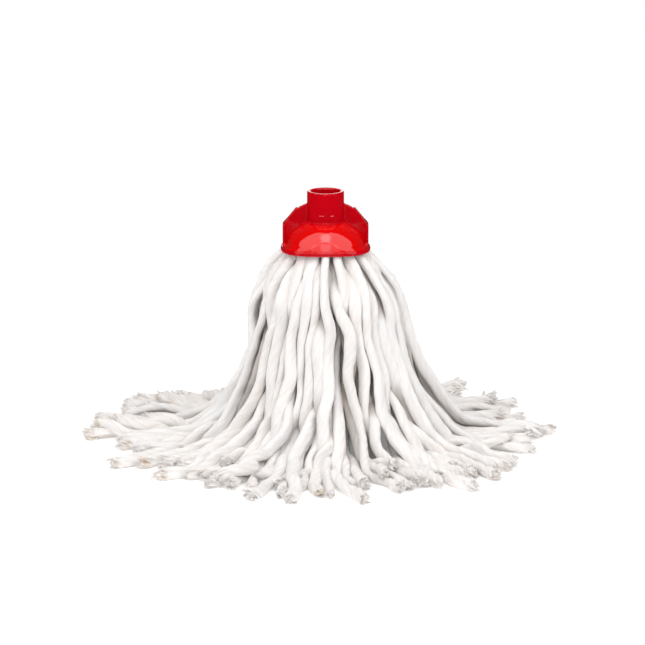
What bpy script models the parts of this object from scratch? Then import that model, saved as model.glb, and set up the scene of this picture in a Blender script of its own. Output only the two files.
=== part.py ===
"""String mop: a plastic hood with a handle socket, and cotton yarn that hangs out of it to the floor.

Metres, +Z up. The origin is on the floor, under the hood's axis.
"""

import math
import random

import bmesh
import bpy
from mathutils import Vector

MM = 0.001
GAP = 0.3 * MM  # between pieces that touch

# The whole mop
HOOD_BASE = 162 * MM  # the hood's lower edge above the floor
SPREAD = 192 * MM  # how far the longest tails reach from the axis

# Hood: heights are above its lower edge
NECK_RADIUS = 15.2 * MM
NECK_TOP = 48.3 * MM
NECK_EDGE = 0.8 * MM  # rounding of the neck's rim
BORE_RADIUS = 11.85 * MM
BORE_DEPTH = 28 * MM
BORE_CHAMFER = 1 * MM
THREAD_PITCH = 5 * MM
THREAD_HEIGHT = 0.9 * MM
THREAD_TURNS = 2.5
DOME_TOP = 23 * MM
DOME_HALF_WIDTH = 31.8 * MM
DOME_HALF_DEPTH = 36.2 * MM
DOME_NARROWING = 2.5  # how late the dome widens sideways on its way down, 1 being an ellipse
FLARE_TOP = 6.4 * MM  # where the sides start to spread into the lip
LIP_HEIGHT = 4.4 * MM
LIP_EDGE = 0.8 * MM  # where the lip is widest
LIP_HALF_WIDTH = 37 * MM
LIP_HALF_DEPTH = 36.8 * MM
LIP_WALL = 1.6 * MM
LIP_SQUARENESS = 2.8  # exponent of the plan outline, 2 being round
WALL = 2 * MM
FLOOR_THICKNESS = 2.2 * MM  # between the socket and the inside of the hood

# Wings between the neck and the side plates
WEB_THICKNESS = 3.2 * MM
PLATE_FACE = 35.3 * MM  # outer face of a side plate from the axis
PLATE_THICKNESS = 1.8 * MM
PLATE_HALF_DEPTH = 7 * MM
WEB_TOP_AT_NECK = 37.7 * MM
WEB_TOP_AT_PLATE = 33.9 * MM
WEB_WIDENS_FROM = 5 * MM  # beyond the neck
SHOULDER_X = 23.8 * MM  # where the web's edge meets the plate's cut corner
SHOULDER_TOP = 35 * MM
CORNER_LOW = 20.4 * MM  # foot of the cut corner

# Retaining core and the boss that it is pushed into
STEM_RADIUS = 5 * MM
BOSS_WALL = 2.2 * MM
BOSS_LENGTH = 10 * MM
CORE_FLANGE_RADIUS = 12.5 * MM
CORE_FLANGE_THICKNESS = 2.5 * MM

# Binding wire
WIRE_RING_RADIUS = 16 * MM
WIRE_RADIUS = 0.9 * MM

# Yarn
YARN_DIAMETER = 8.4 * MM
TAILS = 40
TAILS_PER_GROUP = 4  # outer, middle, outer, inner
TAIL_START = 1.6 * MM  # above the hood's lower edge
PINCH = 0.78  # a tail's thickness where the hood grips it, as a share of the whole
TAIL_STEP = 2.4  # spacing of a tail's sections, in diameters
# A tail's way down, as (share of the way out to its end, share of its height), the hood first.
DRAPE = (
    (0.0, 1.0),
    (0.006, 0.955),
    (0.076, 0.872),
    (0.15, 0.755),
    (0.189, 0.605),
    (0.226, 0.46),
    (0.29, 0.31),
    (0.40, 0.155),
    (0.55, 0.04),
    (0.70, 0.0),
    (0.85, 0.0),
    (1.0, 0.0),
)
PINCHED_POINTS = 3  # points of DRAPE over which a tail swells to its full thickness
SLUMP = 0.045  # how much further out the tails hang to +X, and less far to -X, as a share of their way
# How far the tails reach, as shares of SPREAD: those to +Y and -Y, and the range of the others.
DEPTH_REACH = 0.97
SHORTEST_REACH = 0.80
LONGEST_REACH = 0.94
LAYER_FADE = 5  # diameters of way out over which the layers merge into one, once there is room
WANDER = 0.8  # how much of its own sector a tail wanders over
WANDER_FROM = 0.4  # share of the way out at which the wander is full
FEWEST_WAVES = 0.6
MOST_WAVES = 1.3
# The tails lie combed together and apart on the floor: (bunches round the mop, degrees, phase).
COMB = ((2, 4.0, 0.6), (5, 2.2, 2.1))
SEED = 11

# Hinges of the yarn locks, at the hood's lip
HINGE_OUT = 1 * MM  # beyond the lip
HINGE_DROP = 3 * MM  # below the hood's lower edge

HOOD_SEGMENTS = 48
ROUND_SEGMENTS = 32
DOME_STEPS = 7
FINE_STEPS = 400  # along a tail, from which its even sections are read


def clear_scene():
    for obj in list(bpy.data.objects):
        bpy.data.objects.remove(obj, do_unlink=True)


def new_collection(name):
    collection = bpy.data.collections.new(name)
    bpy.context.scene.collection.children.link(collection)
    return collection


def new_material(name, color, roughness, metallic=0.0):
    material = bpy.data.materials.new(name)
    material.use_nodes = True
    shader = material.node_tree.nodes["Principled BSDF"]
    shader.inputs["Base Color"].default_value = (*color, 1.0)
    shader.inputs["Roughness"].default_value = roughness
    shader.inputs["Metallic"].default_value = metallic
    return material


def add_object(name, data, collection, material=None):
    obj = bpy.data.objects.new(name, data)
    collection.objects.link(obj)
    if material:
        data.materials.append(material)
    return obj


def as_cutter(obj):
    obj.hide_render = True
    obj.display_type = "WIRE"
    return obj


def shade(obj):
    obj.data.shade_smooth()
    obj.data.set_sharp_from_angle(angle=math.radians(35))


def plan_point(half_width, half_depth, squareness, turn):
    """A point of a rounded-square outline at this angle, the exponent 2 giving an ellipse."""
    across = math.cos(turn)
    along = math.sin(turn)
    size = (abs(across) ** squareness + abs(along) ** squareness) ** (-1 / squareness)
    return half_width * across * size, half_depth * along * size


def loft(name, rows, segments):
    """A closed skin through rows of (half width, half depth, height, squareness), the ends capped."""
    mesh = bpy.data.meshes.new(name)
    body = bmesh.new()
    rings = []
    for half_width, half_depth, height, squareness in rows:
        turns = (2 * math.pi * k / segments for k in range(segments))
        places = (plan_point(half_width, half_depth, squareness, turn) for turn in turns)
        rings.append([body.verts.new((x, y, height)) for x, y in places])
    for upper, lower in zip(rings, rings[1:]):
        for k in range(segments):
            after = (k + 1) % segments
            body.faces.new((upper[k], lower[k], lower[after], upper[after]))
    body.faces.new(rings[0])
    body.faces.new(reversed(rings[-1]))
    bmesh.ops.recalc_face_normals(body, faces=body.faces)
    body.to_mesh(mesh)
    body.free()
    return mesh


def turned(name, profile, collection, material, height):
    """A profile of (radius, height) turned round Z, listed down its outer side and up its inner."""
    mesh = bpy.data.meshes.new(name)
    points = [(radius, 0, z) for radius, z in profile]
    closed = all(radius > 0 for radius, _ in profile)
    last = len(points) if closed else len(points) - 1
    mesh.from_pydata(points, [(k, (k + 1) % len(points)) for k in range(last)], [])
    obj = add_object(name, mesh, collection, material)
    obj.location.z = height
    screw = obj.modifiers.new("turn", "SCREW")
    screw.steps = ROUND_SEGMENTS
    screw.render_steps = ROUND_SEGMENTS
    screw.use_merge_vertices = True
    screw.merge_threshold = 0.01 * MM
    return obj


def prism(name, outline, depth, rotation=(0, 0, 0)):
    """A flat outline drawn in XY and thickened to both sides, as a mesh with its caps welded."""
    curve = bpy.data.curves.new(name, "CURVE")
    curve.dimensions = "2D"
    curve.fill_mode = "BOTH"
    curve.extrude = depth / 2
    spline = curve.splines.new("POLY")
    spline.points.add(len(outline) - 1)
    for point, (x, y) in zip(spline.points, outline):
        point.co = (x, y, 0, 1)
    spline.use_cyclic_u = True
    obj = bpy.data.objects.new(name, curve)
    bpy.context.scene.collection.objects.link(obj)
    obj.rotation_euler = rotation
    return obj


def curve_to_mesh(obj, collection):
    """The same shape as a mesh, which Booleans take."""
    bpy.context.view_layer.update()
    graph = bpy.context.evaluated_depsgraph_get()
    mesh = bpy.data.meshes.new_from_object(obj.evaluated_get(graph))
    body = bmesh.new()
    body.from_mesh(mesh)
    bmesh.ops.remove_doubles(body, verts=body.verts, dist=0.001 * MM)
    bmesh.ops.recalc_face_normals(body, faces=body.faces)
    body.to_mesh(mesh)
    body.free()
    solid = add_object(obj.name + "_mesh", mesh, collection)
    solid.matrix_world = obj.matrix_world
    bpy.data.objects.remove(obj, do_unlink=True)
    return solid


def boolean(obj, operation, other):
    modifier = obj.modifiers.new(other.name, "BOOLEAN")
    modifier.operation = operation
    modifier.object = other


# Hood


def dome_rows(inset):
    """The dome from its crown out to the skirt, drawn in by the inset."""
    low = FLARE_TOP
    high = DOME_TOP - inset
    inner = NECK_RADIUS - inset / 2
    rows = []
    for k in range(DOME_STEPS + 1):
        turn = math.pi / 2 * k / DOME_STEPS
        out = math.sin(turn)
        half_width = inner + (DOME_HALF_WIDTH - inset - inner) * out**DOME_NARROWING
        half_depth = inner + (DOME_HALF_DEPTH - inset - inner) * out
        squareness = 2 + (LIP_SQUARENESS - 2) * out
        rows.append((half_width, half_depth, low + (high - low) * math.cos(turn), squareness))
    return rows


def hood_outside():
    def lip(inset, height):
        share = min(1, (FLARE_TOP - height) / (FLARE_TOP - LIP_EDGE))
        half_width = DOME_HALF_WIDTH + (LIP_HALF_WIDTH - DOME_HALF_WIDTH) * share
        return (half_width - inset, LIP_HALF_DEPTH - inset, height, LIP_SQUARENESS)

    def neck(radius, height):
        return (radius, radius, height, 2)

    return [
        neck(NECK_RADIUS - NECK_EDGE, NECK_TOP),
        neck(NECK_RADIUS, NECK_TOP - NECK_EDGE),
        *dome_rows(0),
        lip(LIP_HALF_DEPTH - DOME_HALF_DEPTH, LIP_HEIGHT),
        lip(0, LIP_HEIGHT - 1.6 * MM),
        lip(0, LIP_EDGE),
        lip(0.5 * MM, 0),
    ]


def ceiling_height():
    """The underside of the socket's floor."""
    return NECK_TOP - BORE_DEPTH - FLOOR_THICKNESS


def hood_cavity():
    """The hollow under the dome, with the boss for the core left standing in it."""
    ceiling = ceiling_height()
    throat = NECK_RADIUS - WALL / 2
    boss_inner = STEM_RADIUS + GAP
    boss_outer = boss_inner + BOSS_WALL
    half_width = LIP_HALF_WIDTH - LIP_WALL
    half_depth = LIP_HALF_DEPTH - LIP_WALL
    round_rows = [
        (boss_inner, ceiling),
        (boss_inner, ceiling - BOSS_LENGTH),
        (boss_outer, ceiling - BOSS_LENGTH),
        (boss_outer, ceiling),
        (throat - WALL / 4, ceiling),
    ]
    return [
        *((radius, radius, height, 2) for radius, height in round_rows),
        *dome_rows(WALL),
        (half_width, half_depth, LIP_EDGE, LIP_SQUARENESS),
        (half_width, half_depth, -WALL, LIP_SQUARENESS),
    ]


def bore_rows():
    """The socket, open at the top, with a chamfered mouth."""
    mouth = BORE_RADIUS + BORE_CHAMFER
    rows = [
        (mouth + WALL, NECK_TOP + WALL),
        (mouth, NECK_TOP),
        (BORE_RADIUS, NECK_TOP - BORE_CHAMFER),
        (BORE_RADIUS, NECK_TOP - BORE_DEPTH),
    ]
    return [(radius, radius, height, 2) for radius, height in rows]


def wing_plan(side):
    """Seen from above: a web that widens in a hollow curve into the side plate."""
    start = NECK_RADIUS - WALL
    inner_face = PLATE_FACE - PLATE_THICKNESS
    curve_start = NECK_RADIUS + WEB_WIDENS_FROM
    half_web = WEB_THICKNESS / 2
    edge = []
    steps = 7
    for k in range(steps + 1):
        turn = math.pi / 2 * k / steps
        x = curve_start + (inner_face - curve_start) * math.sin(turn)
        y = half_web + (PLATE_HALF_DEPTH - half_web) * (1 - math.cos(turn))
        edge.append((x, y))
    outline = [(start, half_web), *edge, (PLATE_FACE, PLATE_HALF_DEPTH)]
    outline += [(x, -y) for x, y in reversed(outline)]
    return [(side * x, y) for x, y in outline]


def wing_profile(side):
    """Seen from the front: a falling arc from the neck, a small step, and the plate's cut corner."""
    start = NECK_RADIUS - WALL
    foot = LIP_HEIGHT - 1.5 * MM
    rise = WEB_TOP_AT_NECK - WEB_TOP_AT_PLATE
    steps = 5
    arc = []
    for k in range(steps + 1):
        share = k / steps
        x = NECK_RADIUS + (SHOULDER_X - 1 * MM - NECK_RADIUS) * share
        arc.append((x, WEB_TOP_AT_NECK - rise * share**1.5))
    outline = [(start, foot), (start, WEB_TOP_AT_NECK), *arc]
    outline += [(SHOULDER_X, SHOULDER_TOP), (PLATE_FACE, CORNER_LOW), (PLATE_FACE, foot)]
    return [(side * x, z) for x, z in outline]


def wing(side, cutters):
    tag = "right" if side > 0 else "left"
    plan = prism(f"wing_plan_{tag}", wing_plan(side), 4 * NECK_TOP)
    plan = as_cutter(curve_to_mesh(plan, cutters))
    upright = (math.radians(90), 0, 0)
    profile = prism(f"wing_profile_{tag}", wing_profile(side), 4 * LIP_HALF_DEPTH, upright)
    solid = as_cutter(curve_to_mesh(profile, cutters))
    boolean(solid, "INTERSECT", plan)
    for obj in (plan, solid):
        obj.location.z += HOOD_BASE
    return solid


def thread(cutters):
    """The ridge of the socket's coarse thread."""
    curve = bpy.data.curves.new("thread", "CURVE")
    curve.dimensions = "3D"
    curve.bevel_depth = THREAD_HEIGHT
    curve.bevel_resolution = 1
    curve.use_fill_caps = True
    steps = round(THREAD_TURNS * 20)
    start = NECK_TOP - 2 * THREAD_PITCH - THREAD_TURNS * THREAD_PITCH
    spline = curve.splines.new("POLY")
    spline.points.add(steps)
    for k, point in enumerate(spline.points):
        turn = 2 * math.pi * THREAD_TURNS * k / steps
        height = start + THREAD_PITCH * THREAD_TURNS * k / steps
        point.co = (BORE_RADIUS * math.cos(turn), BORE_RADIUS * math.sin(turn), height, 1)
    obj = bpy.data.objects.new("thread", curve)
    bpy.context.scene.collection.objects.link(obj)
    ridge = as_cutter(curve_to_mesh(obj, cutters))
    ridge.location.z = HOOD_BASE
    return ridge


def make_hood(parts, cutters, material):
    hood = add_object("hood", loft("hood", hood_outside(), HOOD_SEGMENTS), parts, material)
    hood.location.z = HOOD_BASE
    for side in (-1, 1):
        boolean(hood, "UNION", wing(side, cutters))
    for name, rows in (("cavity", hood_cavity()), ("bore", bore_rows())):
        cutter = as_cutter(add_object(name, loft(name, rows, HOOD_SEGMENTS), cutters))
        cutter.location.z = HOOD_BASE
        boolean(hood, "DIFFERENCE", cutter)
    boolean(hood, "UNION", thread(cutters))
    shade(hood)
    return hood


# What holds the yarn in the hood


def flange_bottom():
    return TAIL_START + GAP


def cone_top():
    """The core's cone ends where the boss begins."""
    return ceiling_height() - BOSS_LENGTH - GAP


def make_core(parts, material):
    top = ceiling_height() - GAP
    low = flange_bottom()
    high = low + CORE_FLANGE_THICKNESS
    profile = (
        (0, top),
        (STEM_RADIUS, top),
        (STEM_RADIUS, cone_top()),
        (CORE_FLANGE_RADIUS, high),
        (CORE_FLANGE_RADIUS, low),
        (0, low),
    )
    core = turned("retaining_core", profile, parts, material, HOOD_BASE)
    shade(core)
    return core


def collar_top():
    return ceiling_height() - 2 * WIRE_RADIUS - 3 * GAP


def make_collar(parts, material):
    """The packed folds of the yarn, round the core and its boss."""
    low = flange_bottom()
    high = collar_top()
    sleeve = STEM_RADIUS + GAP + BOSS_WALL + GAP
    rows = [(min(row[:2]) - 2 * GAP, row[2]) for row in reversed(dome_rows(WALL))]
    outside = [row for row in rows if row[1] < high]
    crown = rows[len(outside)][0]  # the next row up is narrower, so the top stays clear of the dome
    profile = [
        (sleeve, high),
        (crown, high),
        *reversed(outside),
        (outside[0][0], low),
        (CORE_FLANGE_RADIUS + GAP, low),
        (CORE_FLANGE_RADIUS + GAP, low + CORE_FLANGE_THICKNESS + GAP),
        (sleeve, cone_top() + GAP),
    ]
    collar = turned("yarn_collar", profile, parts, material, HOOD_BASE)
    shade(collar)
    return collar


def make_wire(parts, material):
    bpy.ops.mesh.primitive_torus_add(
        major_segments=ROUND_SEGMENTS,
        minor_segments=8,
        major_radius=WIRE_RING_RADIUS,
        minor_radius=WIRE_RADIUS,
        location=(0, 0, HOOD_BASE + collar_top() + GAP + WIRE_RADIUS),
    )
    wire = bpy.context.object
    wire.name = "binding_wire"
    wire.data.materials.append(material)
    for collection in list(wire.users_collection):
        collection.objects.unlink(wire)
    parts.objects.link(wire)
    wire.data.shade_smooth()
    return wire


# Yarn


def smoothstep(value):
    value = min(1.0, max(0.0, value))
    return value * value * (3 - 2 * value)


def catmull_rom(points, share):
    """A point on the smooth curve through the points, at this share of their count."""
    place = share * (len(points) - 1)
    k = min(int(place), len(points) - 2)
    t = place - k
    before = points[max(k - 1, 0)]
    after = points[min(k + 2, len(points) - 1)]
    here, there = points[k], points[k + 1]
    return 0.5 * (
        2 * here
        + (there - before) * t
        + (2 * before - 5 * here + 4 * there - after) * t**2
        + (3 * here - before - 3 * there + after) * t**3
    )


def tail_layer(index):
    """0 for the outer ring, 1 for the middle one and 2 for the inner one."""
    return (0, 1, 0, 2)[index % TAILS_PER_GROUP]


def tail_reach(index, chance):
    """How far a tail goes: those along the axes go furthest, so that the mop stays centred."""
    quarter = TAILS // 4
    if index % quarter == 0:
        return SPREAD if index % (2 * quarter) == 0 else SPREAD * DEPTH_REACH
    return SPREAD * (SHORTEST_REACH + (LONGEST_REACH - SHORTEST_REACH) * chance)


def combed(azimuth):
    """How far the floor ends at this azimuth are turned aside, and how that changes with azimuth."""
    turn = 0.0
    change = 0.0
    for bunches, degrees, phase in COMB:
        turn += math.radians(degrees) * math.sin(bunches * azimuth + phase)
        change += math.radians(degrees) * bunches * math.cos(bunches * azimuth + phase)
    return turn, change


def tail_points(index, chances):
    """The route of one tail: its drape in its own upright plane, and a slow wander across it."""
    reach_chance, bend_chance, wave_chance = chances
    sector = 2 * math.pi / TAILS
    azimuth = sector * index
    layer = tail_layer(index)
    thick = YARN_DIAMETER + GAP
    exit_radius = LIP_HALF_DEPTH - LIP_WALL - PINCH * YARN_DIAMETER / 2 - 1 * MM
    single_layer = thick / (2 * math.sin(sector / 2))
    innermost = (PINCH * YARN_DIAMETER + GAP) / (2 * math.sin(TAILS_PER_GROUP * sector / 2))
    reach = tail_reach(index, reach_chance)
    bottom = YARN_DIAMETER / 2
    top = HOOD_BASE + TAIL_START
    waves = FEWEST_WAVES + (MOST_WAVES - FEWEST_WAVES) * wave_chance
    turn, change = combed(azimuth)
    points = []
    for out, up in DRAPE:
        belly = 6.75 * up * (1 - up) ** 2  # 1 at a third of the height, and 0 at both ends
        out += SLUMP * math.cos(azimuth) * belly
        radius = exit_radius + out * (reach - exit_radius)
        fade = 1 - smoothstep((radius - single_layer) / (LAYER_FADE * thick))
        radius = max(radius - layer * thick * fade, innermost)
        height = bottom + up * (top - bottom)
        on_floor = smoothstep((radius - single_layer) / (SPREAD - single_layer))
        room = max(0.0, radius * math.tan(sector * (1 + change * on_floor) / 2) - thick / 2)
        swing = math.sin(2 * math.pi * (waves * out + bend_chance))
        sideways = WANDER * room * swing * smoothstep(out / WANDER_FROM)
        heading = azimuth + turn * on_floor
        outward = Vector((math.cos(heading), math.sin(heading), 0))
        across = Vector((-math.sin(heading), math.cos(heading), 0))
        points.append(radius * outward + sideways * across + Vector((0, 0, height)))
    return points


def tail_sections(points):
    """Points along the tail, each with its share of the full thickness.

    They are evenly spaced, apart from one more just below the hood, where the tail hangs straight.
    """
    fine = [catmull_rom(points, k / FINE_STEPS) for k in range(FINE_STEPS + 1)]
    for place in fine:
        place.z = max(place.z, YARN_DIAMETER / 2)
    lengths = [0.0]
    for a, b in zip(fine, fine[1:]):
        lengths.append(lengths[-1] + (b - a).length)
    swollen = lengths[round(FINE_STEPS * PINCHED_POINTS / (len(points) - 1))]
    count = max(6, round(lengths[-1] / (TAIL_STEP * YARN_DIAMETER)))
    targets = [lengths[-1] * step / count for step in range(count + 1)]
    targets.insert(1, targets[1] / 5)
    sections = []
    k = 0
    for target in targets:
        while k < FINE_STEPS - 1 and lengths[k + 1] < target:
            k += 1
        share = (target - lengths[k]) / (lengths[k + 1] - lengths[k])
        place = fine[k].lerp(fine[k + 1], min(1.0, share))
        sections.append((place, PINCH + (1 - PINCH) * smoothstep(target / swollen)))
    sections[1][0].xy = sections[0][0].xy
    return sections


def hinge_of(group):
    """An empty on a lock's hinge, its X outwards and its Y along the hinge."""
    azimuth = 2 * math.pi / TAILS * (TAILS_PER_GROUP * group + 1)
    radius = LIP_HALF_WIDTH + HINGE_OUT
    empty = bpy.data.objects.new(f"yarn_lock_{group + 1:02d}_hinge", None)
    empty.location = (
        radius * math.cos(azimuth),
        radius * math.sin(azimuth),
        HOOD_BASE - HINGE_DROP,
    )
    empty.rotation_euler = (0, 0, azimuth)
    empty.empty_display_size = 5 * MM
    return empty


def make_tail(index, chances, parent, parts, material):
    name = f"yarn_tail_{index + 1:02d}"
    curve = bpy.data.curves.new(name, "CURVE")
    curve.dimensions = "3D"
    curve.bevel_depth = YARN_DIAMETER / 2
    curve.bevel_resolution = 2
    curve.use_fill_caps = True
    spline = curve.splines.new("POLY")
    sections = tail_sections(tail_points(index, chances))
    spline.points.add(len(sections) - 1)
    to_parent = parent.matrix_world.inverted()
    for point, (place, thickness) in zip(spline.points, sections):
        point.co = (*(to_parent @ place), 1)
        point.radius = thickness
    tail = add_object(name, curve, parts, material)
    tail.parent = parent
    return tail


def make_yarn(parts, material, head):
    rng = random.Random(SEED)
    hinges = [hinge_of(group) for group in range(TAILS // TAILS_PER_GROUP)]
    for hinge in hinges:
        parts.objects.link(hinge)
    bpy.context.view_layer.update()
    for index in range(TAILS):
        chances = [rng.random() for _ in range(3)]
        parent = head if tail_layer(index) == 2 else hinges[index // TAILS_PER_GROUP]
        make_tail(index, chances, parent, parts, material)


def main():
    clear_scene()
    parts = new_collection("string_mop")
    cutters = new_collection("cutters")
    red = new_material("hood_red", (0.62, 0.002, 0.008), 0.16)
    white_plastic = new_material("core_plastic", (0.75, 0.75, 0.73), 0.4)
    cotton = new_material("cotton_yarn", (0.84, 0.81, 0.76), 0.9)
    zinc = new_material("zinc_wire", (0.6, 0.6, 0.62), 0.35, 1.0)
    head = bpy.data.objects.new("mop_head", None)
    parts.objects.link(head)
    pieces = [
        make_hood(parts, cutters, red),
        make_core(parts, white_plastic),
        make_collar(parts, cotton),
        make_wire(parts, zinc),
    ]
    for piece in pieces:
        piece.parent = head
    make_yarn(parts, cotton, head)


main()
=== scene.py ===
import math
import random

import bmesh
import bpy
import numpy as np
from mathutils import Matrix, Vector, kdtree


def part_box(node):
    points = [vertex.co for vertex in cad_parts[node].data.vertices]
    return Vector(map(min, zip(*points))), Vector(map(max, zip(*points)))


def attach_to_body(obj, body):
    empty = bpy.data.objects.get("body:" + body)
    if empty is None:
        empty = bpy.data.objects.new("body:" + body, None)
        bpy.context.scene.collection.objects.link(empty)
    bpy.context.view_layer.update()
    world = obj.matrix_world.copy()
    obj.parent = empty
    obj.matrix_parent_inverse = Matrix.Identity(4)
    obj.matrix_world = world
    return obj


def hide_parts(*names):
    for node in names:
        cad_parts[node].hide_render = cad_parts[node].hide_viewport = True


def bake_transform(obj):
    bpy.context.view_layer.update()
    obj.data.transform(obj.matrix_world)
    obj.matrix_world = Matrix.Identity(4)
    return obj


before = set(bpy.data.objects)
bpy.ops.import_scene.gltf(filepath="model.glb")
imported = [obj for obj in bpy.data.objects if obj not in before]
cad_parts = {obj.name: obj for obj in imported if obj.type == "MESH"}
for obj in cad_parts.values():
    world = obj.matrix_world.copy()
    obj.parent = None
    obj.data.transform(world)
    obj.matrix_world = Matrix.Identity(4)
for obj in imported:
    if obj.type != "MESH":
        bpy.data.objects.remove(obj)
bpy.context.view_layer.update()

mm = 0.001
gap = 0.3 * mm
collection = bpy.context.scene.collection


# Small helpers

def smoothstep(value):
    value = min(1.0, max(0.0, value))
    return value * value * (3 - 2 * value)


def addObject(name, data):
    obj = bpy.data.objects.new(name, data)
    collection.objects.link(obj)
    return obj


def evaluatedMesh(obj, name):
    # the object's finished shape as a plain mesh
    bpy.context.view_layer.update()
    graph = bpy.context.evaluated_depsgraph_get()
    mesh = bpy.data.meshes.new_from_object(obj.evaluated_get(graph))
    mesh.name = name
    return mesh


def addNode(tree, kind, values=None, **settings):
    # values: socket name or number -> a constant, or the socket that feeds it
    node = tree.nodes.new(kind)
    for key, value in settings.items():
        setattr(node, key, value)
    for key, value in (values or {}).items():
        if isinstance(value, bpy.types.NodeSocket):
            tree.links.new(value, node.inputs[key])
        else:
            node.inputs[key].default_value = value
    return node


def calc(tree, operation, *values, clamp=False):
    node = addNode(tree, "ShaderNodeMath", dict(enumerate(values)), operation=operation)
    node.use_clamp = clamp
    return node.outputs[0]


def times(tree, first, *others):
    for other in others:
        first = calc(tree, "MULTIPLY", first, other)
    return first


def plus(tree, first, *others):
    for other in others:
        first = calc(tree, "ADD", first, other)
    return first


def vector(tree, operation, *values):
    node = addNode(tree, "ShaderNodeVectorMath", operation=operation)
    for place, value in enumerate(values):
        socket = node.inputs["Scale"] if operation == "SCALE" and place == 1 else node.inputs[place]
        if isinstance(value, bpy.types.NodeSocket):
            tree.links.new(value, socket)
        else:
            socket.default_value = value
    return node.outputs["Value" if operation in ("LENGTH", "DOT_PRODUCT") else "Vector"]


def ramp(tree, value, low, high, toLow=0.0, toHigh=1.0, smooth=True):
    kind = "SMOOTHSTEP" if smooth else "LINEAR"
    numbers = {0: value, 1: low, 2: high, 3: toLow, 4: toHigh}
    return addNode(tree, "ShaderNodeMapRange", numbers, interpolation_type=kind).outputs[0]


def noise(tree, place, scale, detail=2.0):
    values = {"Vector": place, "Scale": scale, "Detail": detail}
    return addNode(tree, "ShaderNodeTexNoise", values).outputs["Fac"]


def addInput(tree, name, kind, value=None):
    socket = tree.interface.new_socket(name, in_out="INPUT", socket_type="NodeSocket" + kind)
    if value is not None:
        socket.default_value = value


# Camera

cameraSettings = {
    "elevation": 13.3,  # degrees
    "distance": 2.6,
    "lens": 175.0,
    "aim": (-0.0025, 0.0, 0.099),
}


def makeCamera():
    data = bpy.data.cameras.new("camera")
    data.lens = cameraSettings["lens"]
    data.sensor_width = 36.0
    camera = addObject("camera", data)
    tilt = math.radians(cameraSettings["elevation"])
    aim = Vector(cameraSettings["aim"])
    camera.location = aim + cameraSettings["distance"] * Vector((0, -math.cos(tilt), math.sin(tilt)))
    camera.rotation_euler = (aim - camera.location).to_track_quat("-Z", "Y").to_euler()
    bpy.context.scene.camera = camera


makeCamera()
print("camera ready")


# Yarn: where each strand runs

yarn = {
    "tails": 40,
    "tailsPerGroup": 4,
    "tailDiameter": 8.4 * mm,
    "strandDiameter": 9.2 * mm,
    "pinch": 0.78,
    "tailStart": 1.6 * mm,
    "spread": 192 * mm,
    "depthReach": 0.97,
    "shortestReach": 0.80,
    "longestReach": 0.94,
    "slump": 0.045,
    "layerFade": 5,
    "wander": 0.8,
    "wanderFrom": 0.4,
    "waves": (0.6, 1.3),
    "comb": ((2, 4.0, 0.6), (5, 2.2, 2.1)),
    "seed": 11,
    "drape": (
        (0.0, 1.0), (0.006, 0.955), (0.076, 0.872), (0.15, 0.755), (0.189, 0.605), (0.226, 0.46),
        (0.29, 0.31), (0.40, 0.155), (0.55, 0.04), (0.70, 0.0), (0.85, 0.0), (1.0, 0.0),
    ),
}

hoodLow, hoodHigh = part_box("hood")
hoodBase = hoodLow.z
lipHalfDepth = hoodHigh.y
lipWall = 1.6 * mm
sector = 2 * math.pi / yarn["tails"]


def combed(azimuth):
    # how far the floor ends are turned aside here, and how that changes with azimuth
    turn = sum(math.radians(size) * math.sin(n * azimuth + phase) for n, size, phase in yarn["comb"])
    change = sum(math.radians(size) * n * math.cos(n * azimuth + phase) for n, size, phase in yarn["comb"])
    return turn, change


def tailLayer(index):
    return (0, 1, 0, 2)[index % yarn["tailsPerGroup"]]


def tailReach(index, chance):
    quarter = yarn["tails"] // 4
    if index % quarter == 0:
        return yarn["spread"] * (1 if index % (2 * quarter) == 0 else yarn["depthReach"])
    return yarn["spread"] * (yarn["shortestReach"] + (yarn["longestReach"] - yarn["shortestReach"]) * chance)


def routePoints(azimuth, layer, reach, bend, waves, emergeAt=None, emergeOver=None, drift=0.0):
    # the way down of one strand: the same drape as the frame's tails, in any direction and layer
    thick = yarn["tailDiameter"] + gap
    exitRadius = lipHalfDepth - lipWall - yarn["pinch"] * yarn["tailDiameter"] / 2 - 1 * mm
    singleLayer = thick / (2 * math.sin(sector / 2))
    halfGroup = yarn["tailsPerGroup"] * sector / 2
    innermost = (yarn["pinch"] * yarn["tailDiameter"] + gap) / (2 * math.sin(halfGroup))
    emergeAt = singleLayer if emergeAt is None else emergeAt
    emergeOver = yarn["layerFade"] * thick if emergeOver is None else emergeOver
    bottom = yarn["tailDiameter"] / 2
    top = hoodBase + yarn["tailStart"]
    turn, change = combed(azimuth)
    points = []
    for out, up in yarn["drape"]:
        belly = 6.75 * up * (1 - up) ** 2
        out += yarn["slump"] * math.cos(azimuth) * belly
        radius = exitRadius + out * (reach - exitRadius)
        fade = 1 - smoothstep((radius - emergeAt) / emergeOver)
        radius = max(radius - layer * thick * fade, innermost)
        height = bottom + up * (top - bottom)
        onFloor = smoothstep((radius - singleLayer) / (yarn["spread"] - singleLayer))
        room = max(0.0, radius * math.tan(sector * (1 + change * onFloor) / 2) - thick / 2)
        swing = math.sin(2 * math.pi * (waves * out + bend))
        sideways = yarn["wander"] * room * swing * smoothstep(out / yarn["wanderFrom"])
        drifted = smoothstep((radius - singleLayer) / (0.6 * yarn["spread"]))
        heading = azimuth + turn * onFloor + drift * drifted
        outward = np.array((math.cos(heading), math.sin(heading), 0))
        across = np.array((-math.sin(heading), math.cos(heading), 0))
        points.append(radius * outward + sideways * across + np.array((0, 0, height)))
    return np.array(points)


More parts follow.
